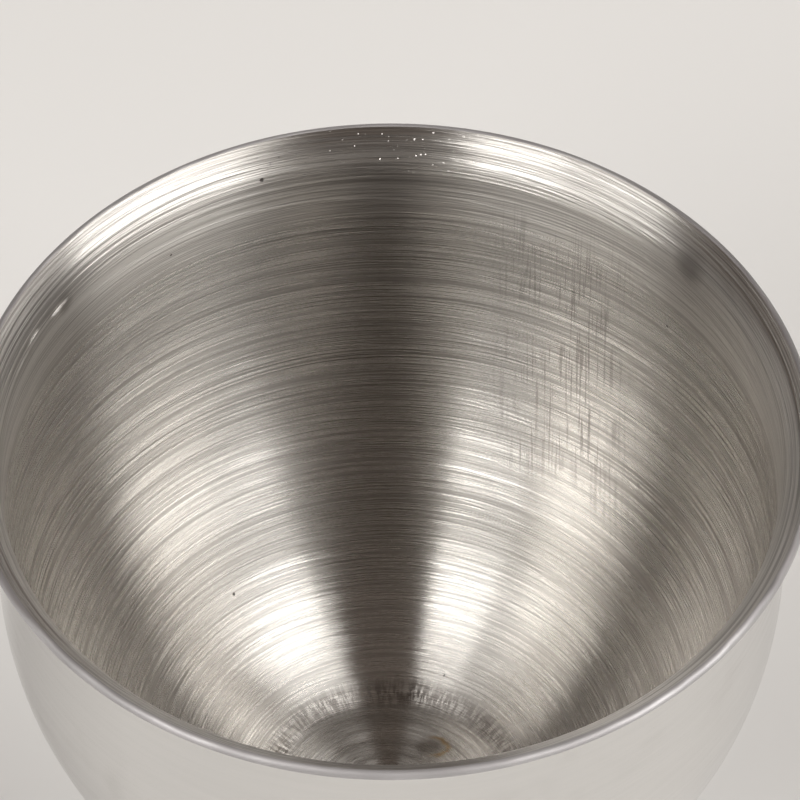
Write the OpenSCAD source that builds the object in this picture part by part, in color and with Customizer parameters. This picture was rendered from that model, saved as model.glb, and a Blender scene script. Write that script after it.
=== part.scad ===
// Egg cup of drawn stainless sheet: a bowl with a flared lip, spot welded to a hollow trumpet foot.
// The origin is on the cup's axis, on the surface that it stands on.
// Lengths are in millimetres and angles in degrees.

/* [Sheet] */
// Thickness of the steel sheet that both shells are drawn from
sheet_t = 0.6; // [0.4:0.1:0.9]

/* [Bowl] */
// Height of the bowl, from under its floor to the top of the lip
bowl_h = 36.8; // [34:0.2:44]
// Inside diameter of the upright wall, which an egg's widest part fits
mouth_d = 46; // [44:0.5:54]
// Outside radius of the shoulder, the long curve under the upright wall
shoulder_r = 27.5; // [24:0.5:32]
// Angle that the shoulder turns through
shoulder_turn = 30; // [26:1:32]
// Length of the straight slope between the shoulder and the belly
slope_l = 5; // [3:0.5:7]
// Outside radius of the belly, the tighter curve above the floor
belly_r = 18; // [15:0.5:20]
// Angle that the belly turns through
belly_turn = 40; // [36:1:44]
// Outside radius of the crease where the belly meets the flat floor
crease_r = 2.4; // [1.5:0.1:4]

/* [Lip] */
// Radius of the hollow under the lip, where the wall flares out
lip_r = 2.4; // [1.6:0.1:3.2]
// Angle by which the lip leans out from the wall
lip_turn = 55; // [40:1:65]
// Length of the straight end of the lip, up to its rounded edge
lip_l = 0.3; // [0.2:0.1:0.8]

/* [Foot] */
// Height of the foot, from the table to its flat land
foot_h = 27; // [25:0.5:34]
// Diameter of the foot where it stands
foot_d = 42; // [38:0.5:46]
// Diameter of the flat land on top of the foot, under the bowl's floor
land_d = 12; // [10:0.5:13]
// Outside radius of the corner between the land and the neck
neck_corner_r = 1.4; // [1:0.1:2]
// Angle by which the neck leans out from upright, so that it leaves the drawing die
neck_lean = 4; // [2:1:7]
// Angle from upright that the flare reaches at its widest
flare_lean = 76; // [70:1:80]
// Outside radius of the bend that turns the foot's edge down
hem_r = 1.6; // [1.2:0.1:2.4]
// Height of the upright edge that stands on the table
hem_h = 0.6; // [0.4:0.1:1.6]

/* [Weld] */
// Diameter of the weld nugget that joins bowl and foot
weld_d = 6; // [4:0.5:8]
// Thickness of the nugget, which is the gap that it leaves between the two sheets
weld_t = 0.2; // [0.1:0.05:0.4]

/* [Hidden] */
$fn = 120;

// Largest angle between two points of a bend, and of a rounded edge
arc_step = 3;
edge_step = 20;

// The bowl's angles from the horizontal: at the top of the crease, then along the straight slope
crease_turn = 90 - shoulder_turn - belly_turn;
slope_angle = crease_turn + belly_turn;

// What each of the bowl's curves adds to its radius and to its height
crease_out = crease_r * sin(crease_turn);
crease_up = crease_r * (1 - cos(crease_turn));
belly_out = belly_r * (sin(slope_angle) - sin(crease_turn));
belly_up = belly_r * (cos(crease_turn) - cos(slope_angle));
slope_out = slope_l * cos(slope_angle);
slope_up = slope_l * sin(slope_angle);
shoulder_out = shoulder_r * (1 - sin(slope_angle));
shoulder_up = shoulder_r * cos(slope_angle);

// The flat floor takes the radius that the curves leave, and the upright wall the height
curves_out = crease_out + belly_out + slope_out + shoulder_out;
curves_up = crease_up + belly_up + slope_up + shoulder_up;
lip_up = (lip_r + sheet_t / 2) * sin(lip_turn) + lip_l * cos(lip_turn) + sheet_t / 2;
floor_r = mouth_d / 2 + sheet_t - curves_out;
wall_l = bowl_h - curves_up - lip_up;

// The radius and the height that the foot's neck and flare share between them
edge_out = (neck_corner_r * cos(neck_lean)) + hem_r * (1 - cos(flare_lean));
edge_up = neck_corner_r * (1 - sin(neck_lean)) + hem_r * sin(flare_lean) + hem_h;
trumpet_out = foot_d / 2 - land_d / 2 - edge_out;
trumpet_up = foot_h - edge_up;

// The radius of the flare and the length of the neck that fill them, and meet without a kink
flare_turn = flare_lean - neck_lean;
flare_r = (trumpet_out * cos(neck_lean) - trumpet_up * sin(neck_lean)) / (1 - cos(flare_turn));
neck_l = (trumpet_up - flare_r * (sin(flare_lean) - sin(neck_lean))) / cos(neck_lean);

bowl_z = foot_h + weld_t;

// Each shell is drawn as steps along its outer face, from the axis to its edge. A step is
// [length, 0] where it is straight, and [radius, angle] where it bends, to the left if above 0.
bowl_steps = [
    [floor_r, 0],
    [crease_r, crease_turn],
    [belly_r, belly_turn],
    [slope_l, 0],
    [shoulder_r, shoulder_turn],
    [wall_l, 0],
    [lip_r, -lip_turn],
    [lip_l, 0]
];
foot_steps = [
    [land_d / 2, 0],
    [neck_corner_r, neck_lean - 90],
    [neck_l, 0],
    [flare_r, flare_turn],
    [hem_r, -flare_lean],
    [hem_h, 0]
];

function aim(angle) = [cos(angle), sin(angle)];
function is_bend(step) = step[1] != 0;
function backwards(list) = [for (i = [len(list) - 1 : -1 : 0]) list[i]];

// The direction from the start of a bend to its centre, and where that centre is
function inward(heading, step) = heading + 90 * sign(step[1]);
function bend_centre(start, heading, step) = start + step[0] * aim(inward(heading, step));

// Where a step of the outer face ends
function step_end(start, heading, step) =
    is_bend(step)
        ? bend_centre(start, heading, step) - step[0] * aim(inward(heading, step) + step[1])
        : start + step[0] * aim(heading);

// The points of one step, at a depth to the left of the outer face, without the first
function step_points(start, heading, step, depth) =
    let (
        count = ceil(abs(step[1]) / arc_step),
        centre = bend_centre(start, heading, step),
        radius = step[0] - depth * sign(step[1])
    )
    is_bend(step)
        ? [for (i = [1 : count]) centre - radius * aim(inward(heading, step) + step[1] * i / count)]
        : [step_end(start, heading, step) + depth * aim(heading + 90)];

// The points of a face of the sheet, along all the steps
function face_points(start, heading, steps, depth, i = 0) =
    i == len(steps)
        ? []
        : concat(
            step_points(start, heading, steps[i], depth),
            face_points(step_end(start, heading, steps[i]), heading + steps[i][1], steps, depth, i + 1)
        );

// The heading after the last step
function end_heading(heading, steps) = heading + [for (step = steps) step[1]] * [for (step = steps) 1];

// The points that round off a cut edge, from the outer face's end to the inner face's
function edge_points(middle, heading, depth) =
    let (count = ceil(180 / edge_step))
    [
        for (i = [1 : count - 1])
            middle
                - depth / 2 * cos(180 * i / count) * aim(heading + 90)
                + abs(depth) / 2 * sin(180 * i / count) * aim(heading)
    ];

// Outline of a shell's half section: along its outer face, round its edge and back along the inner
module section(start, heading, steps, depth, rounded) {
    outer = face_points(start, heading, steps, depth = 0);
    inner = face_points(start, heading, steps, depth);
    edge_middle = (outer[len(outer) - 1] + inner[len(inner) - 1]) / 2;
    polygon(concat(
        [start],
        outer,
        rounded ? edge_points(edge_middle, end_heading(heading, steps), depth) : [],
        backwards(inner),
        [start + depth * aim(heading + 90)]
    ));
}

// Bowl: flat floor, crease, belly, shoulder, upright wall and flared lip, of one thickness throughout
module bowl() {
    color("silver")
        translate([0, 0, bowl_z])
            rotate_extrude()
                section([0, 0], 0, bowl_steps, sheet_t, rounded = true);
}

// Foot: flat land, neck, trumpet flare and an edge that is turned down to stand on, hollow below
module foot() {
    color("gainsboro")
        rotate_extrude()
            section([0, foot_h], 0, foot_steps, -sheet_t, rounded = false);
}

// Weld nugget between the bowl's floor and the foot's land, on the axis
module weld() {
    color("dimgray")
        translate([0, 0, foot_h])
            cylinder(h = weld_t, d = weld_d);
}

bowl();
foot();
weld();
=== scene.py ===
"""A steel egg cup: a drawn bowl, brushed round inside and polished outside, on a hollow trumpet foot."""

import math

import bmesh
import bpy
from mathutils import Matrix, Vector


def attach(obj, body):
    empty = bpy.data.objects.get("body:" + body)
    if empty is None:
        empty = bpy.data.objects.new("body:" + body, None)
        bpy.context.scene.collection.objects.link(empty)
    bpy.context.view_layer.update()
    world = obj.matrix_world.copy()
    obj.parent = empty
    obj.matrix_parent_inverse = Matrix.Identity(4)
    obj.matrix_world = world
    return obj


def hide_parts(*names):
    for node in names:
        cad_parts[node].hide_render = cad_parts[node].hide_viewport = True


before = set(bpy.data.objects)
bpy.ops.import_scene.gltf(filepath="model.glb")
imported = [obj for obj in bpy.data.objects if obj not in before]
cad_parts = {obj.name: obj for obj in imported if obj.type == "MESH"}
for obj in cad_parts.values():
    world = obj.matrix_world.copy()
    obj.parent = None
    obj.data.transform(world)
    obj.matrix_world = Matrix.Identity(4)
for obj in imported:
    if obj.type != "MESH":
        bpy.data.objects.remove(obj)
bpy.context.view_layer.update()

MM = 0.001
MM_PER_M = 1000
BODY = "root"
CUP_MIDDLE = (0, 0, 0.045)
ALONG = "along_mm"

# Camera: where the photograph was taken from, with a long lens from nearly 50 degrees above the table.
CAMERA_AT = (0, -0.19338, 0.29336)
LOOKS_AT = (0.000556, 0.001377, 0.065177)
LENS = 230.48
SENSOR = 36
CLIP_NEAR = 0.01
CLIP_FAR = 50

# Sheet and drawn forms, as in the part's source, in millimetres and degrees.
SHEET = 0.6
HALF = SHEET / 2
BOWL_H = 36.8
MOUTH_D = 46
SHOULDER_R = 27.5
SHOULDER_TURN = 30
SLOPE_L = 5
BELLY_R = 18
BELLY_TURN = 40
CREASE_R = 2.4
LIP_R = 2.4
LIP_TURN = 55
LIP_L = 0.3
FOOT_H = 27
FOOT_D = 42
LAND_D = 12
NECK_CORNER_R = 1.4
NECK_LEAN = 4
FLARE_LEAN = 76
HEM_R = 1.6
HEM_H = 0.6
WELD_D = 6
WELD_T = 0.2
WELD_BULGE = 0.06
WELD_EDGE_WAY = 0.1

# The fine groove inside the lip's edge: how far along the sheet it lies, its half width and its depth.
GROOVE_WAY = 49.6
GROOVE_W = 0.09
GROOVE_DEPTH = 0.05

# How finely the faces are divided, in millimetres and degrees. LIP_STEP is the lip's bend in bowl_steps.
ROUND = 300
RUN_SPACING = 0.4
RUN_STEPS = 2
BEND_STEP = 4
EDGE_STEPS = 14
FINE_SPACING = 0.06
LIP_STEP = 6
ON_AXIS = 1e-6


def sine(angle):
    """Sine of an angle in degrees."""
    return math.sin(math.radians(angle))


def cosine(angle):
    """Cosine of an angle in degrees."""
    return math.cos(math.radians(angle))


def in_scene(name, data):
    """A new object with this data, linked to the scene."""
    made = bpy.data.objects.new(name, data)
    bpy.context.scene.collection.objects.link(made)
    return made


def place_camera():
    """The camera, aimed without roll at a point just inside the rim's circle."""
    data = bpy.data.cameras.new("photo_camera")
    data.lens = LENS
    data.sensor_width = SENSOR
    data.clip_start = CLIP_NEAR
    data.clip_end = CLIP_FAR
    camera = in_scene("photo_camera", data)
    look = Vector(LOOKS_AT) - Vector(CAMERA_AT)
    camera.location = CAMERA_AT
    camera.rotation_euler = look.to_track_quat("-Z", "Y").to_euler()
    bpy.context.scene.camera = camera


# Drawn sheet: each face is walked from the axis outwards, bend by bend.


def bowl_steps():
    """Runs and bends of the bowl's outer face, from the floor's centre to the lip's edge."""
    crease_turn = 90 - SHOULDER_TURN - BELLY_TURN
    slope = crease_turn + BELLY_TURN
    out = CREASE_R * sine(crease_turn)
    out += BELLY_R * (sine(slope) - sine(crease_turn))
    out += SLOPE_L * cosine(slope)
    out += SHOULDER_R * (1 - sine(slope))
    up = CREASE_R * (1 - cosine(crease_turn))
    up += BELLY_R * (cosine(crease_turn) - cosine(slope))
    up += SLOPE_L * sine(slope)
    up += SHOULDER_R * cosine(slope)
    lip_up = (LIP_R + HALF) * sine(LIP_TURN) + LIP_L * cosine(LIP_TURN) + HALF
    floor_r = MOUTH_D / 2 + SHEET - out
    wall_l = BOWL_H - up - lip_up
    return [
        (floor_r, 0),
        (CREASE_R, crease_turn),
        (BELLY_R, BELLY_TURN),
        (SLOPE_L, 0),
        (SHOULDER_R, SHOULDER_TURN),
        (wall_l, 0),
        (LIP_R, -LIP_TURN),
        (LIP_L, 0),
    ]


def foot_steps():
    """Runs and bends of the foot's outer face, from the land's centre down to the standing edge."""
    edge_out = NECK_CORNER_R * cosine(NECK_LEAN) + HEM_R * (1 - cosine(FLARE_LEAN))
    edge_up = NECK_CORNER_R * (1 - sine(NECK_LEAN)) + HEM_R * sine(FLARE_LEAN) + HEM_H
    out = FOOT_D / 2 - LAND_D / 2 - edge_out
    up = FOOT_H - edge_up
    turn = FLARE_LEAN - NECK_LEAN
    flare_r = (out * cosine(NECK_LEAN) - up * sine(NECK_LEAN)) / (1 - cosine(turn))
    neck_l = (up - flare_r * (sine(FLARE_LEAN) - sine(NECK_LEAN))) / cosine(NECK_LEAN)
    return [
        (LAND_D / 2, 0),
        (NECK_CORNER_R, NECK_LEAN - 90),
        (neck_l, 0),
        (flare_r, turn),
        (HEM_R, -FLARE_LEAN),
        (HEM_H, 0),
    ]


def walk(start, steps, depth, fine_step=None):
    """One face as points of radius, height, heading and way along, at a depth in from the outer face."""
    heading = 0
    x, y = start
    way = 0
    points = [(x, y + depth, heading, way)]
    for number, (size, turn) in enumerate(steps):
        if turn == 0:
            count = max(RUN_STEPS, math.ceil(size / RUN_SPACING))
            for i in range(1, count + 1):
                gone = size * (i / count)
                px = x + gone * cosine(heading) - depth * sine(heading)
                py = y + gone * sine(heading) + depth * cosine(heading)
                points.append((px, py, heading, way + gone))
            x += size * cosine(heading)
            y += size * sine(heading)
            way += size
        else:
            side = 1 if turn > 0 else -1
            cx = x - size * side * sine(heading)
            cy = y + size * side * cosine(heading)
            radius = size - depth * side
            arc = math.radians(abs(turn)) * radius
            count = max(math.ceil(abs(turn) / BEND_STEP), math.ceil(arc / RUN_SPACING))
            if number == fine_step:
                count = math.ceil(arc / FINE_SPACING)
            for i in range(1, count + 1):
                now = heading + turn * i / count
                px = cx + radius * side * sine(now)
                py = cy - radius * side * cosine(now)
                points.append((px, py, now, way + arc * i / count))
            heading += turn
            x = cx + size * side * sine(heading)
            y = cy - size * side * cosine(heading)
            way += arc
    return points


def revolve(name, outline, finishes):
    """A closed body of revolution from points of radius, height, way along and finish, in millimetres."""
    mesh = bpy.data.meshes.new(name)
    shell = bmesh.new()
    mark = shell.verts.layers.float.new(ALONG)
    rings = []
    for radius, height, way, finish in outline:
        ring = []
        for i in range(ROUND if radius > ON_AXIS else 1):
            angle = 2 * math.pi * i / ROUND
            x = radius * MM * math.cos(angle)
            y = radius * MM * math.sin(angle)
            vert = shell.verts.new((x, y, height * MM))
            vert[mark] = way
            ring.append(vert)
        rings.append(ring)
    for lower, upper, point in zip(rings, rings[1:], outline[1:]):
        for i in range(ROUND):
            j = (i + 1) % ROUND
            if len(lower) == 1:
                corners = (lower[0], upper[j], upper[i])
            elif len(upper) == 1:
                corners = (lower[i], lower[j], upper[0])
            else:
                corners = (lower[i], lower[j], upper[j], upper[i])
            face = shell.faces.new(corners)
            face.smooth = True
            face.material_index = point[3]
    bmesh.ops.recalc_face_normals(shell, faces=shell.faces)
    shell.to_mesh(mesh)
    shell.free()
    for finish in finishes:
        mesh.materials.append(finish)
    return in_scene(name, mesh)


# Material nodes.


def add(tree, kind, inputs=None, **settings):
    """A node whose inputs are numbers, colours or other nodes' sockets."""
    made = tree.nodes.new(kind)
    for name, value in settings.items():
        setattr(made, name, value)
    for name, value in (inputs or {}).items():
        feed(tree, made.inputs[name], value)
    return made


def feed(tree, socket, value):
    """Links a socket to another node's output, or sets it to a plain value."""
    if isinstance(value, bpy.types.NodeSocket):
        tree.links.new(value, socket)
    else:
        socket.default_value = value


def calc(tree, operation, *values):
    """The result of one sum on numbers or sockets."""
    return add(tree, "ShaderNodeMath", dict(enumerate(values)), operation=operation).outputs[0]


def vector(tree, operation, *values):
    """The result of one sum on vectors."""
    return add(tree, "ShaderNodeVectorMath", dict(enumerate(values)), operation=operation).outputs[0]


def scaled(tree, value, amount):
    """A vector made longer or shorter."""
    return add(tree, "ShaderNodeVectorMath", {0: value, "Scale": amount}, operation="SCALE").outputs[0]


def fade(tree, value, low, high, to_low=0, to_high=1):
    """A soft step from one value to another between two limits."""
    inputs = {"Value": value, "From Min": low, "From Max": high, "To Min": to_low, "To Max": to_high}
    return add(tree, "ShaderNodeMapRange", inputs, interpolation_type="SMOOTHSTEP").outputs["Result"]


def blend(tree, share, first, second):
    """A colour between two colours."""
    made = add(tree, "ShaderNodeMix", None, data_type="RGBA")
    for name, value in {"Factor": share, "A": first, "B": second}.items():
        feed(tree, next(s for s in made.inputs if s.name == name and s.enabled), value)
    return next(s for s in made.outputs if s.enabled)


def new_group(name, inputs, outputs, kind="NodeSocketFloat"):
    """An empty node group with named sockets, and its input and output nodes."""
    tree = bpy.data.node_groups.new(name, "ShaderNodeTree")
    for label, value in inputs.items():
        socket = tree.interface.new_socket(name=label, in_out="INPUT", socket_type="NodeSocketFloat")
        socket.default_value = value
    for label in outputs:
        tree.interface.new_socket(name=label, in_out="OUTPUT", socket_type=kind)
    given = tree.nodes.new("NodeGroupInput")
    out = tree.nodes.new("NodeGroupOutput")
    return tree, given.outputs, out.inputs


def placed(tree, group, **values):
    """A node group set into a material, with its inputs by name."""
    made = tree.nodes.new("ShaderNodeGroup")
    made.node_tree = group
    for name, value in values.items():
        feed(tree, made.inputs[name.replace("_", " ").capitalize()], value)
    return made.outputs


def way_along(tree):
    """How far a point lies along the sheet's face, in millimetres."""
    return add(tree, "ShaderNodeAttribute", None, attribute_name=ALONG).outputs["Fac"]


def here(tree):
    """Where a point lies on its piece, in metres."""
    return add(tree, "ShaderNodeTexCoord").outputs["Object"]


def around(tree):
    """A unit vector from the axis to the point, level with the table."""
    return vector(tree, "NORMALIZE", vector(tree, "MULTIPLY", here(tree), (1, 1, 0)))


# How far apart two seeds lie in the noise.
SEED_STEP = 7.31


def turned_noise(tree, reach, pitch, tilt, seed, detail=1.0, roughness=0.5):
    """Noise drawn out round the axis: reach sets the arcs' length, pitch the lines per millimetre."""
    spoke = around(tree)
    lean = {0: calc(tree, "COSINE", seed), 1: calc(tree, "SINE", seed)}
    lean = add(tree, "ShaderNodeCombineXYZ", lean).outputs[0]
    shift = add(tree, "ShaderNodeVectorMath", {0: spoke, 1: lean}, operation="DOT_PRODUCT").outputs["Value"]
    way = calc(tree, "ADD", way_along(tree), calc(tree, "MULTIPLY", shift, tilt))
    rise = calc(tree, "MULTIPLY", way, pitch)
    apart = calc(tree, "MULTIPLY", seed, SEED_STEP)
    lift = add(tree, "ShaderNodeCombineXYZ", {0: apart, 1: apart, 2: rise}).outputs[0]
    where = vector(tree, "ADD", scaled(tree, spoke, reach), lift)
    inputs = {"Vector": where, "Scale": 1, "Detail": detail, "Roughness": roughness}
    return add(tree, "ShaderNodeTexNoise", inputs).outputs["Fac"]


# Brushing: how the kinds of line differ from the group's own reach, pitch and tilt, and what each adds.
CROSSING_TILT = -1.3
SHORT_REACH = 2.0
SHORT_PITCH = 1.3
BAND_PITCH = 0.42
BAND_ROUGH = 0.6
STRAY_PITCH = 0.7
STRAY_TILT = 2.5
STRAY_LIMITS = (0.63, 0.73)
HAIR_PITCH = 2.0
HAIR_UP = 3.5
STRAY_UP = 0.5
BAND_SIDE = 0.25
SHORT_TONE = 0.35
BAND_TONE = 0.28
STRAY_TONE = 0.2
LONG_SEED, SHORT_SEED, BAND_SEED, STRAY_SEED, HAIR_SEED = 1.3, 2.4, 4.1, 5.5, 6.6


def brush_group():
    """Brushing round the axis: how far each fine line leans up the face and sideways, and its tone."""
    inputs = {"Reach": 2.0, "Pitch": 6.0, "Tilt": 1.5, "Seed": 0.0}
    tree, given, out = new_group("brushed round", inputs, ("Up", "Side", "Tone"))

    def lines(reach, pitch, tilt, seed, detail=1.0, roughness=0.5):
        """Lines about nought, with reach, pitch and tilt as multiples of the group's own."""
        wide = calc(tree, "MULTIPLY", given["Reach"], reach)
        close = calc(tree, "MULTIPLY", given["Pitch"], pitch)
        slanted = calc(tree, "MULTIPLY", given["Tilt"], tilt)
        start = calc(tree, "ADD", given["Seed"], seed)
        noise = turned_noise(tree, wide, close, slanted, start, detail, roughness)
        return calc(tree, "SUBTRACT", noise, 0.5)

    long_lines = lines(1, 1, 1, LONG_SEED)
    short_lines = lines(SHORT_REACH, SHORT_PITCH, CROSSING_TILT, SHORT_SEED)
    bands = lines(1, BAND_PITCH, 1, BAND_SEED, 2, BAND_ROUGH)
    hair = lines(1, HAIR_PITCH, 1, HAIR_SEED)
    sparse = calc(tree, "ADD", lines(1, STRAY_PITCH, STRAY_TILT, STRAY_SEED), 0.5)
    stray = fade(tree, sparse, *STRAY_LIMITS)
    up = calc(tree, "MULTIPLY_ADD", hair, HAIR_UP, long_lines)
    tree.links.new(calc(tree, "MULTIPLY_ADD", stray, STRAY_UP, up), out["Up"])
    tree.links.new(calc(tree, "MULTIPLY_ADD", bands, BAND_SIDE, short_lines), out["Side"])
    tone = calc(tree, "MULTIPLY_ADD", short_lines, SHORT_TONE, long_lines)
    tone = calc(tree, "MULTIPLY_ADD", bands, BAND_TONE, calc(tree, "ADD", tone, 0.5))
    tree.links.new(calc(tree, "MULTIPLY_ADD", stray, STRAY_TONE, tone), out["Tone"])
    return tree


def lean_group():
    """The face's direction, leaned up along the sheet and sideways round the axis."""
    tree, given, out = new_group("leaned face", {"Up": 0.0, "Side": 0.0}, ("Normal",), "NodeSocketVector")
    face = add(tree, "ShaderNodeNewGeometry").outputs["Normal"]
    round_way = vector(tree, "CROSS_PRODUCT", (0, 0, 1), around(tree))
    turn = {"vector_type": "VECTOR", "convert_from": "OBJECT", "convert_to": "WORLD"}
    round_way = add(tree, "ShaderNodeVectorTransform", {0: round_way}, **turn).outputs[0]
    up_way = vector(tree, "CROSS_PRODUCT", round_way, face)
    up = scaled(tree, up_way, given["Up"])
    side = scaled(tree, round_way, given["Side"])
    leaned = vector(tree, "ADD", face, vector(tree, "ADD", up, side))
    tree.links.new(vector(tree, "NORMALIZE", leaned), out["Normal"])
    return tree


def pit_group():
    """Small round pits scattered over the steel."""
    inputs = {"Per mm": 0.5, "Size": 0.08, "Share": 0.3, "Seed": 0.0}
    tree, given, out = new_group("pits", inputs, ("Mask",))
    per_metre = calc(tree, "MULTIPLY", given["Per mm"], MM_PER_M)
    moved = vector(tree, "ADD", here(tree), given["Seed"])
    cells = add(tree, "ShaderNodeTexVoronoi", {"Vector": moved, "Scale": per_metre}).outputs
    kept = calc(tree, "LESS_THAN", cells["Color"], given["Share"])
    near = fade(tree, cells["Distance"], given["Size"], 0)
    tree.links.new(calc(tree, "MULTIPLY", kept, near), out["Mask"])
    return tree


def new_material(name):
    """A material with its shader and output, ready for nodes."""
    material = bpy.data.materials.new(name)
    material.use_nodes = True
    tree = material.node_tree
    tree.nodes.clear()
    shader = tree.nodes.new("ShaderNodeBsdfPrincipled")
    out = tree.nodes.new("ShaderNodeOutputMaterial")
    tree.links.new(shader.outputs["BSDF"], out.inputs["Surface"])
    return material, tree, shader


# The shader counts its shine's direction in whole turns.
QUARTER_TURN = 0.25


def turned(tree, shader, amount):
    """Stretches the shine across lines that run round the axis."""
    tangent = add(tree, "ShaderNodeTangent", None, direction_type="RADIAL", axis="Z").outputs[0]
    tree.links.new(tangent, shader.inputs["Tangent"])
    shader.inputs["Anisotropic"].default_value = amount
    shader.inputs["Anisotropic Rotation"].default_value = QUARTER_TURN


# Colours of the steels and of the marks on them.
STEEL = (0.66, 0.64, 0.61, 1)
STEEL_DIM = (0.42, 0.40, 0.38, 1)
# The edge's colours: a duller tumbled steel, with a grey-violet tint that is a painted reflection of the
# dark surroundings above.
EDGE_DULL_AND_REFLECTION_DIM = (0.42, 0.405, 0.41, 1)
EDGE_DULL_AND_REFLECTION_PALE = (0.54, 0.525, 0.53, 1)
POLISHED = (0.66, 0.65, 0.635, 1)
PIT_DARK = (0.10, 0.09, 0.085, 1)
# Dark of the tool and drag marks, and also of the painted dark reflections on the lip.
MARK_AND_REFLECTION_DARK = (0.26, 0.24, 0.225, 1)
STAIN_DARK = (0.21, 0.18, 0.155, 1)
STAIN_EDGE = (0.38, 0.26, 0.12, 1)
WELD_STRAW = (0.42, 0.33, 0.21, 1)
WELD_BLUE = (0.20, 0.21, 0.26, 1)


def bell(tree, value, middle, width):
    """One at the middle, falling to nothing a width away on both sides."""
    apart = calc(tree, "ABSOLUTE", calc(tree, "SUBTRACT", value, middle))
    return fade(tree, apart, width, 0)


def window(tree, value, low, high, soft):
    """One between two limits, with soft ends."""
    rising = fade(tree, value, low - soft, low + soft)
    falling = fade(tree, value, high + soft, high - soft)
    return calc(tree, "MULTIPLY", rising, falling)


def level_noise(tree, x, x_pitch, y, y_pitch, seed, detail=1.0):
    """Noise over two values, each with its own pitch."""
    across = calc(tree, "MULTIPLY", x, x_pitch)
    along = calc(tree, "MULTIPLY", y, y_pitch)
    where = add(tree, "ShaderNodeCombineXYZ", {0: across, 1: along, 2: seed}).outputs[0]
    return add(tree, "ShaderNodeTexNoise", {"Vector": where, "Scale": 1, "Detail": detail}).outputs["Fac"]


# Drag scratches: lines per millimetre, limits of the noise, and where they lie across and along the sheet.
DRAG_PITCH = (9, 0.22)
DRAG_LIMITS = (0.53, 0.66)
DRAG_HAZE = 0.12
DRAG_ACROSS = (7.0, 14.5, 2.0)
DRAG_ALONG = (25, 44, 4)
WORN_PITCH = (0.5, 0.25)
WORN_LIMITS = (0.32, 0.52)


def drag_marks(tree, x, y, way):
    """Fine straight scratches down the right of the back, where a spoon is drawn out."""
    marks = level_noise(tree, x, DRAG_PITCH[0], way, DRAG_PITCH[1], seed=3.1, detail=0)
    worn = level_noise(tree, x, WORN_PITCH[0], way, WORN_PITCH[1], seed=4.4)
    marks = fade(tree, marks, *DRAG_LIMITS, DRAG_HAZE, 1)
    kept = calc(tree, "MULTIPLY", marks, fade(tree, worn, *WORN_LIMITS))
    place = calc(tree, "MULTIPLY", window(tree, x, *DRAG_ACROSS), window(tree, way, *DRAG_ALONG))
    at_back = calc(tree, "GREATER_THAN", y, 0)
    return calc(tree, "MULTIPLY", kept, calc(tree, "MULTIPLY", place, at_back))


# Spots on the inside: angle from the back in degrees, way along the sheet and reach in millimetres.
# The first two spots are painted dark reflections on the lip, where the lamps' reflection in it ends.
LIP_PAINTED_DARK_REFLECTIONS = ((51.5, 47.9, 1.0), (-58.5, 47.4, 0.6))
LIP_SCUFFS = ((-60.0, 47.6, 0.20), (-67.5, 48.0, 0.22), (-73.0, 47.8, 0.18))
DEEP_PITS = (
    (-20.0, 47.9, 0.13),
    (48.0, 41.4, 0.10),
    (-40.5, 17.6, 0.10),
    (21.0, 9.8, 0.10),
    (-36.0, 44.5, 0.08),
)
PAINTED_REFLECTION_SOFT = 0.7
SCUFF_SOFT = 0.7
SCUFF_NARROW = 0.28
PIT_SOFT = 0.3


def spots(tree, turn, way, places, soft, narrow=1):
    """Soft spots on the inner face in one mask, drawn out round the axis where narrow is under 1."""
    joined = 0
    for angle, height, reach in places:
        across = calc(tree, "SUBTRACT", turn, math.radians(angle))
        across = calc(tree, "MULTIPLY", across, narrow * MOUTH_D / 2)
        up = calc(tree, "SUBTRACT", way, height)
        apart = calc(tree, "ADD", calc(tree, "POWER", across, 2), calc(tree, "POWER", up, 2))
        near = fade(tree, calc(tree, "POWER", apart, 0.5), reach * (1 + soft), reach * (1 - soft))
        joined = calc(tree, "MAXIMUM", joined, near)
    return joined


# Tool marks over the crease: how fine they are, and the middle and half width of their band.
STROKE_REACH = 42
STROKE_PITCH = 0.9
STROKE_LIMITS = (0.43, 0.54)
STROKE_AT = (8.1, 1.5)


def crease_marks(tree, way):
    """Short ragged marks up the face, where the tool turned at the crease."""
    strokes = turned_noise(tree, STROKE_REACH, STROKE_PITCH, tilt=0.2, seed=3.7, detail=3, roughness=0.65)
    return calc(tree, "MULTIPLY", fade(tree, strokes, *STROKE_LIMITS), bell(tree, way, *STROKE_AT))


# The stain on the floor, in millimetres from the axis and as multiples of its own size.
STAIN_AT = (2.5, 3.9)
STAIN_SIZE = (1.0, 0.65)
STAIN_RAGGED = 0.5
STAIN_PITCH = 3
STAIN_LIMITS = (1.3, 0.5)
STAIN_RIM = (1.15, 0.3)
STAIN_RIM_FROM = (-0.4, 0.6)


def floor_stain(tree, x, y):
    """A small leaf-shaped spot on the floor, and its rim on the right."""
    long_way = calc(tree, "DIVIDE", calc(tree, "SUBTRACT", x, STAIN_AT[0]), STAIN_SIZE[0])
    short_way = calc(tree, "DIVIDE", calc(tree, "SUBTRACT", y, STAIN_AT[1]), STAIN_SIZE[1])
    apart = calc(tree, "ADD", calc(tree, "POWER", long_way, 2), calc(tree, "POWER", short_way, 2))
    ragged = level_noise(tree, x, STAIN_PITCH, y, STAIN_PITCH, seed=1.7)
    ragged = calc(tree, "MULTIPLY_ADD", ragged, STAIN_RAGGED, -STAIN_RAGGED / 2)
    reached = calc(tree, "ADD", calc(tree, "POWER", apart, 0.5), ragged)
    right_side = fade(tree, x, STAIN_AT[0] + STAIN_RIM_FROM[0], STAIN_AT[0] + STAIN_RIM_FROM[1])
    rim = calc(tree, "MULTIPLY", bell(tree, reached, *STAIN_RIM), right_side)
    return fade(tree, reached, *STAIN_LIMITS), rim


# Flecks: angles from the back in radians and ways along the sheet, between which they fade in.
FLECK_ANGLES = (0.42, 0.25)
FLECK_FROM = (46.6, 47.6)


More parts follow.
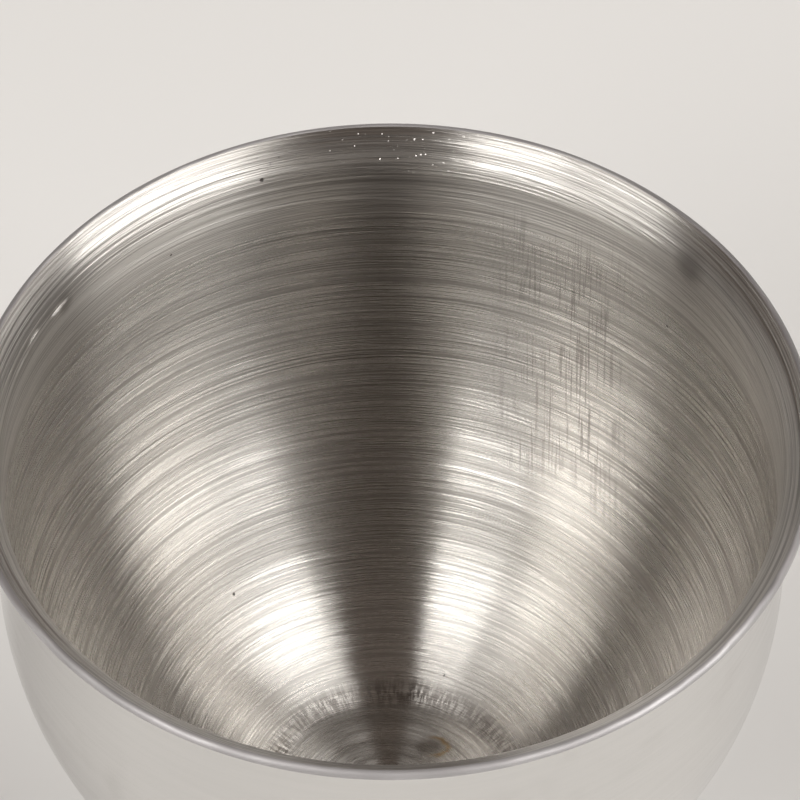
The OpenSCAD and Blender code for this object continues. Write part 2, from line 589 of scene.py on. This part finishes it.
def lip_flecks(tree, pits, turn, way):
    """Tiny bright flecks at the back of the lip."""
    flecks = placed(tree, pits, per_mm=3.4, size=0.28, share=0.40, seed=4.0)["Mask"]
    at_back = fade(tree, calc(tree, "ABSOLUTE", turn), *FLECK_ANGLES)
    return calc(tree, "MULTIPLY", flecks, calc(tree, "MULTIPLY", at_back, fade(tree, way, *FLECK_FROM)))


# The inside's finish: limits are ways along the sheet in millimetres, leans are slopes.
FLOOR_ENDS = (7.4, 6.9)
CONTRAST_FADE = (18, 36, 0.45, 1.25)
TONE_MIDDLE = 0.53
TONE_LIMITS = (0.34, 0.66)
TONE_SPREAD = (0.3, 0.7)
MARK_SHARES = {"stroke": 0.95, "drag": 0.7, "stain": 0.7, "rim": 0.85, "painted_reflection": 0.7}
INSIDE_ROUGH = (0.29, 0.26)
LIP_ROUGH_FADE = (42, 47.5, 0, 0.06)
RING_LEAN = 0.6
UP_FADE = (24, 38, 0.16, 0.30)
LIP_UP_FADE = (41, 48, 0, 0.35)
SIDE_FADE = (22, 36, 0.08, 0.13)
DRAG_LEAN = 0.06
SCUFF_LEAN = 0.22
FLECK_LEAN = 0.34
STROKE_LEAN = -0.03
PIT_DEPTH = 0.03 * MM
INSIDE_STRETCH = 1.0


def inside_steel(brush, lean, pits):
    """Brushed round the axis, with turned rings, drag and tool marks, pits, a stain, flecks, and painted
    dark reflections on the lip.
    """
    material, tree, shader = new_material("steel_brushed_inside")
    place = add(tree, "ShaderNodeSeparateXYZ", {0: scaled(tree, here(tree), MM_PER_M)}).outputs
    way = way_along(tree)
    turn = calc(tree, "ARCTAN2", place["X"], place["Y"])
    lines = placed(tree, brush, reach=1.1, pitch=12.0, tilt=0.7, seed=0.3)
    specks = placed(tree, pits, per_mm=0.45, size=0.07, share=0.16)["Mask"]
    specks = calc(tree, "MAXIMUM", specks, spots(tree, turn, way, DEEP_PITS, PIT_SOFT))
    flecks = lip_flecks(tree, pits, turn, way)
    scuffs = spots(tree, turn, way, LIP_SCUFFS, SCUFF_SOFT, SCUFF_NARROW)
    drags = drag_marks(tree, place["X"], place["Y"], way)
    strokes = crease_marks(tree, way)
    stain, rim = floor_stain(tree, place["X"], place["Y"])
    on_floor = fade(tree, way, *FLOOR_ENDS)
    stain = calc(tree, "MULTIPLY", stain, on_floor)
    rim = calc(tree, "MULTIPLY", rim, on_floor)

    contrast = fade(tree, way, *CONTRAST_FADE)
    tone = calc(tree, "MULTIPLY_ADD", calc(tree, "SUBTRACT", lines["Tone"], 0.5), contrast, TONE_MIDDLE)
    colour = blend(tree, fade(tree, tone, *TONE_LIMITS), STEEL_DIM, STEEL)
    marks = (
        ("stroke", strokes, MARK_AND_REFLECTION_DARK),
        ("drag", drags, MARK_AND_REFLECTION_DARK),
        ("stain", stain, STAIN_DARK),
        ("rim", rim, STAIN_EDGE),
        # Painted dark reflection on the lip, where the lamps' reflection in it ends.
        ("painted_reflection", spots(tree, turn, way, LIP_PAINTED_DARK_REFLECTIONS, PAINTED_REFLECTION_SOFT), MARK_AND_REFLECTION_DARK),
    )
    for name, mask, dark in marks:
        colour = blend(tree, calc(tree, "MULTIPLY", mask, MARK_SHARES[name]), colour, dark)
    tree.links.new(blend(tree, specks, colour, PIT_DARK), shader.inputs["Base Color"])
    shader.inputs["Metallic"].default_value = 1
    satin = fade(tree, lines["Tone"], *TONE_SPREAD, *INSIDE_ROUGH)
    satin = calc(tree, "ADD", satin, fade(tree, way, *LIP_ROUGH_FADE))
    tree.links.new(satin, shader.inputs["Roughness"])

    rings = turned_noise(tree, reach=0.7, pitch=1.9, tilt=0.15, seed=6.1, detail=2, roughness=0.7)
    rings = calc(tree, "SUBTRACT", rings, 0.5)
    rings = calc(tree, "MULTIPLY", rings, calc(tree, "MULTIPLY", on_floor, RING_LEAN))
    strength = calc(tree, "ADD", fade(tree, way, *UP_FADE), fade(tree, way, *LIP_UP_FADE))
    up = calc(tree, "MULTIPLY_ADD", lines["Up"], strength, rings)
    side = calc(tree, "MULTIPLY", lines["Side"], fade(tree, way, *SIDE_FADE))
    leans = ((drags, DRAG_LEAN), (scuffs, SCUFF_LEAN), (flecks, FLECK_LEAN), (strokes, STROKE_LEAN))
    for mask, amount in leans:
        side = calc(tree, "MULTIPLY_ADD", mask, amount, side)
    face = placed(tree, lean, up=up, side=side)["Normal"]
    sunk = calc(tree, "MULTIPLY", specks, -1)
    inputs = {"Height": sunk, "Distance": PIT_DEPTH, "Strength": 1.0, "Normal": face}
    bump = add(tree, "ShaderNodeBump", inputs)
    tree.links.new(bump.outputs[0], shader.inputs["Normal"])
    turned(tree, shader, INSIDE_STRETCH)
    return material


EDGE_ROUGH = (0.60, 0.50)
EDGE_LEAN = 0.3
EDGE_STRETCH = 0.5


def edge_steel(brush, lean):
    """Tumbled smooth, a little dull; its grey-violet colour is also a painted reflection of the dark
    surroundings above.
    """
    material, tree, shader = new_material("steel_satin_edge_painted_reflection")
    lines = placed(tree, brush, reach=3.0, pitch=6.0, tilt=0.8, seed=1.1)
    colour = blend(tree, fade(tree, lines["Tone"], *TONE_SPREAD), EDGE_DULL_AND_REFLECTION_DIM, EDGE_DULL_AND_REFLECTION_PALE)
    tree.links.new(colour, shader.inputs["Base Color"])
    shader.inputs["Metallic"].default_value = 1
    tree.links.new(fade(tree, lines["Tone"], *TONE_SPREAD, *EDGE_ROUGH), shader.inputs["Roughness"])
    up = calc(tree, "MULTIPLY", lines["Up"], EDGE_LEAN)
    tree.links.new(placed(tree, lean, up=up, side=0.0)["Normal"], shader.inputs["Normal"])
    turned(tree, shader, EDGE_STRETCH)
    return material


WHEEL_MARK_SHARE = 0.94
OUTSIDE_ROUGH = (0.15, 0.096)
OUTSIDE_LEAN = 0.035
OUTSIDE_STRETCH = 0.4
SMEAR_PITCH = 110
SMEAR_LIMITS = (0.52, 0.72)
SMEAR_SHARE = 0.25
SMEAR_ROUGH = 0.12


def outside_steel(brush, lean, name):
    """Mirror polished, with faint wheel marks round the axis and dull finger smears."""
    material, tree, shader = new_material(name)
    inputs = {"Vector": here(tree), "Scale": SMEAR_PITCH, "Detail": 3, "Roughness": 0.6}
    smears = fade(tree, add(tree, "ShaderNodeTexNoise", inputs).outputs["Fac"], *SMEAR_LIMITS)
    lines = placed(tree, brush, reach=3.0, pitch=3.0, tilt=1.0, seed=2.7)
    wheel_mark = [part * WHEEL_MARK_SHARE for part in POLISHED[:3]] + [1]
    colour = blend(tree, lines["Tone"], wheel_mark, POLISHED)
    colour = blend(tree, calc(tree, "MULTIPLY", smears, SMEAR_SHARE), colour, STEEL_DIM)
    tree.links.new(colour, shader.inputs["Base Color"])
    shader.inputs["Metallic"].default_value = 1
    rough = fade(tree, lines["Tone"], *TONE_SPREAD, *OUTSIDE_ROUGH)
    tree.links.new(calc(tree, "MULTIPLY_ADD", smears, SMEAR_ROUGH, rough), shader.inputs["Roughness"])
    up = calc(tree, "MULTIPLY", lines["Up"], OUTSIDE_LEAN)
    tree.links.new(placed(tree, lean, up=up, side=0.0)["Normal"], shader.inputs["Normal"])
    turned(tree, shader, OUTSIDE_STRETCH)
    return material


def plain_steel(brush, name, first, second, seed, roughness):
    """Steel left as it came from the press or the welder, in two mixed colours."""
    material, tree, shader = new_material(name)
    lines = placed(tree, brush, reach=3.0, pitch=2.0, tilt=1.0, seed=seed)
    tree.links.new(blend(tree, lines["Tone"], first, second), shader.inputs["Base Color"])
    shader.inputs["Metallic"].default_value = 1
    shader.inputs["Roughness"].default_value = roughness
    return material


# Pieces.


def half_round(inner, outer, finish):
    """Points of a rounded edge from an outer face's end to an inner face's end."""
    cx = (inner[0] + outer[0]) / 2
    cy = (inner[1] + outer[1]) / 2
    start = math.atan2(outer[1] - cy, outer[0] - cx)
    radius = math.hypot(outer[0] - cx, outer[1] - cy)
    way = outer[3]
    points = []
    for i in range(1, EDGE_STEPS):
        angle = start + math.pi * i / EDGE_STEPS
        points.append((cx + radius * math.cos(angle), cy + radius * math.sin(angle), way, finish))
    return points


def grooved(points):
    """The inner face with a fine turned groove just inside the lip's edge."""
    made = []
    for x, y, heading, way in points:
        apart = min(1, abs(way - GROOVE_WAY) / GROOVE_W)
        sunk = GROOVE_DEPTH * (1 - apart)
        made.append((x + sunk * sine(heading), y - sunk * cosine(heading), heading, way))
    return made


def finished(points, finish):
    """A face's points with the number of their finish in place of the heading."""
    return [(x, y, way, finish) for x, y, heading, way in points]


def bowl_shell(finishes):
    """The drawn bowl with its flared lip, finished outside, on the edge and inside."""
    start = (0, FOOT_H + WELD_T)
    steps = bowl_steps()
    outer = walk(start, steps, 0)
    inner = grooved(walk(start, steps, SHEET, LIP_STEP))
    outline = finished(outer, 0)
    outline += half_round(inner[-1], outer[-1], 1)
    outline += finished(reversed(inner), 2)
    return revolve("bowl_shell", outline, finishes)


def foot_shell(finishes):
    """The hollow trumpet foot, finished outside and inside."""
    start = (0, FOOT_H)
    steps = foot_steps()
    outline = finished(walk(start, steps, 0), 0)
    outline += finished(reversed(walk(start, steps, -SHEET)), 1)
    return revolve("foot_shell", outline, finishes)


def weld_nugget(finish):
    """The spot weld between the two sheets."""
    radius = WELD_D / 2
    low = FOOT_H
    high = FOOT_H + WELD_T
    outline = [
        (0, low, 0, 0),
        (radius - WELD_BULGE, low, radius - WELD_EDGE_WAY, 0),
        (radius, (low + high) / 2, radius, 0),
        (radius - WELD_BULGE, high, radius + WELD_EDGE_WAY, 0),
        (0, high, WELD_D, 0),
    ]
    return revolve("weld_nugget", outline, [finish])


# Stage: colours, and limits and sizes in metres or as a share of the way up the sky.
WALL = (0.55, 0.54, 0.53, 1)
CEILING = (0.125, 0.10, 0.085, 1)
CEILING_FROM = (0.15, 0.5)
TABLETOP = (0.72, 0.712, 0.70, 1)
TABLETOP_R = 8
TABLETOP_SIDES = 96
TABLETOP_ROUGH = 0.7
TABLETOP_SHINE = 0.2
TABLETOP_FADE = (0.5, 2.0)
WARM_WHITE = (1.0, 0.985, 0.96)


def set_world():
    """A pale wall low down and a dim warm ceiling."""
    world = bpy.data.worlds.new("studio")
    world.use_nodes = True
    tree = world.node_tree
    tree.nodes.clear()
    way = add(tree, "ShaderNodeTexCoord").outputs["Generated"]
    rise = add(tree, "ShaderNodeSeparateXYZ", {0: way}).outputs["Z"]
    colour = blend(tree, fade(tree, rise, *CEILING_FROM), WALL, CEILING)
    sky = add(tree, "ShaderNodeBackground", {"Color": colour, "Strength": 1})
    out = add(tree, "ShaderNodeOutputWorld")
    tree.links.new(sky.outputs[0], out.inputs["Surface"])
    bpy.context.scene.world = world


def lay_floor():
    """A pale tabletop that fades into the wall's colour far off."""
    mesh = bpy.data.meshes.new("floor")
    disc = bmesh.new()
    bmesh.ops.create_circle(disc, cap_ends=True, segments=TABLETOP_SIDES, radius=TABLETOP_R)
    disc.to_mesh(mesh)
    disc.free()
    material, tree, shader = new_material("pale_floor")
    shader.inputs["Base Color"].default_value = TABLETOP
    shader.inputs["Roughness"].default_value = TABLETOP_ROUGH
    shader.inputs["Specular IOR Level"].default_value = TABLETOP_SHINE
    far = add(tree, "ShaderNodeEmission", {"Color": WALL, "Strength": 1})
    distance = add(tree, "ShaderNodeVectorMath", {0: here(tree)}, operation="LENGTH").outputs["Value"]
    share = fade(tree, distance, *TABLETOP_FADE)
    mix = add(tree, "ShaderNodeMixShader", {0: share, 1: shader.outputs[0], 2: far.outputs[0]})
    out = next(n for n in tree.nodes if n.type == "OUTPUT_MATERIAL")
    tree.links.new(mix.outputs[0], out.inputs["Surface"])
    mesh.materials.append(material)
    in_scene("floor", mesh)


def add_softbox(name, at, along, size, power):
    """A soft rectangular lamp that faces the cup, with its first side along a direction."""
    data = bpy.data.lights.new(name, "AREA")
    data.shape = "RECTANGLE"
    data.size = size[0]
    data.size_y = size[1]
    data.energy = power
    data.color = WARM_WHITE
    lamp = in_scene(name, data)
    back = (Vector(at) - Vector(CUP_MIDDLE)).normalized()
    first = Vector(along)
    first = (first - first.dot(back) * back).normalized()
    second = back.cross(first)
    facing = Matrix((first, second, back)).transposed().to_4x4()
    lamp.matrix_world = Matrix.Translation(at) @ facing
    lamp.visible_camera = False


place_camera()
brush = brush_group()
pits = pit_group()
lean = lean_group()
outside = outside_steel(brush, lean, "steel_polished_outside")
edge = edge_steel(brush, lean)
inside = inside_steel(brush, lean, pits)
bowl = bowl_shell([outside, edge, inside])
foot_outside = outside_steel(brush, lean, "steel_polished_foot")
foot_inside = plain_steel(brush, "steel_drawn_matt", STEEL_DIM, STEEL, seed=5.2, roughness=0.45)
foot = foot_shell([foot_outside, foot_inside])
weld_tint = plain_steel(brush, "steel_weld_tint", WELD_STRAW, WELD_BLUE, seed=6.2, roughness=0.4)
weld = weld_nugget(weld_tint)
pieces = ((bowl, "bowl", "bowl_steel"), (foot, "foot", "foot_steel"), (weld, "weld", "weld_steel"))
for piece, node, slot in pieces:
    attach(piece, BODY)
    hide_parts(node)

set_world()
lay_floor()

# Each lamp: its place, the direction of its first side, its sides in metres and its watts.
add_softbox("right_high", (0.425, -0.22, 0.81), (0.34, -1, 0), (0.62, 0.40), 1.6)
add_softbox("right_back_high", (0.36, 0.42, 0.84), (0.42, -0.36, 0), (0.30, 0.30), 0.6)
add_softbox("left_high", (-0.293, -0.22, 0.83), (-0.22, -1, 0), (0.62, 0.30), 0.75)
add_softbox("left_side_high", (-0.60, -0.22, 0.74), (-0.50, -1, 0), (0.62, 0.28), 0.45)
add_softbox("right_front", (0.69, -0.32, 0.715), (0.42, 0.907, 0), (0.76, 0.32), 6.2)
add_softbox("left_front", (-0.434, -0.619, 0.712), (0.819, -0.574, 0), (0.38, 0.32), 3.3)
add_softbox("left_side", (-0.694, -0.324, 0.69), (0.423, -0.906, 0), (0.40, 0.26), 1.9)

view = bpy.context.scene.view_settings
view.view_transform = "Standard"
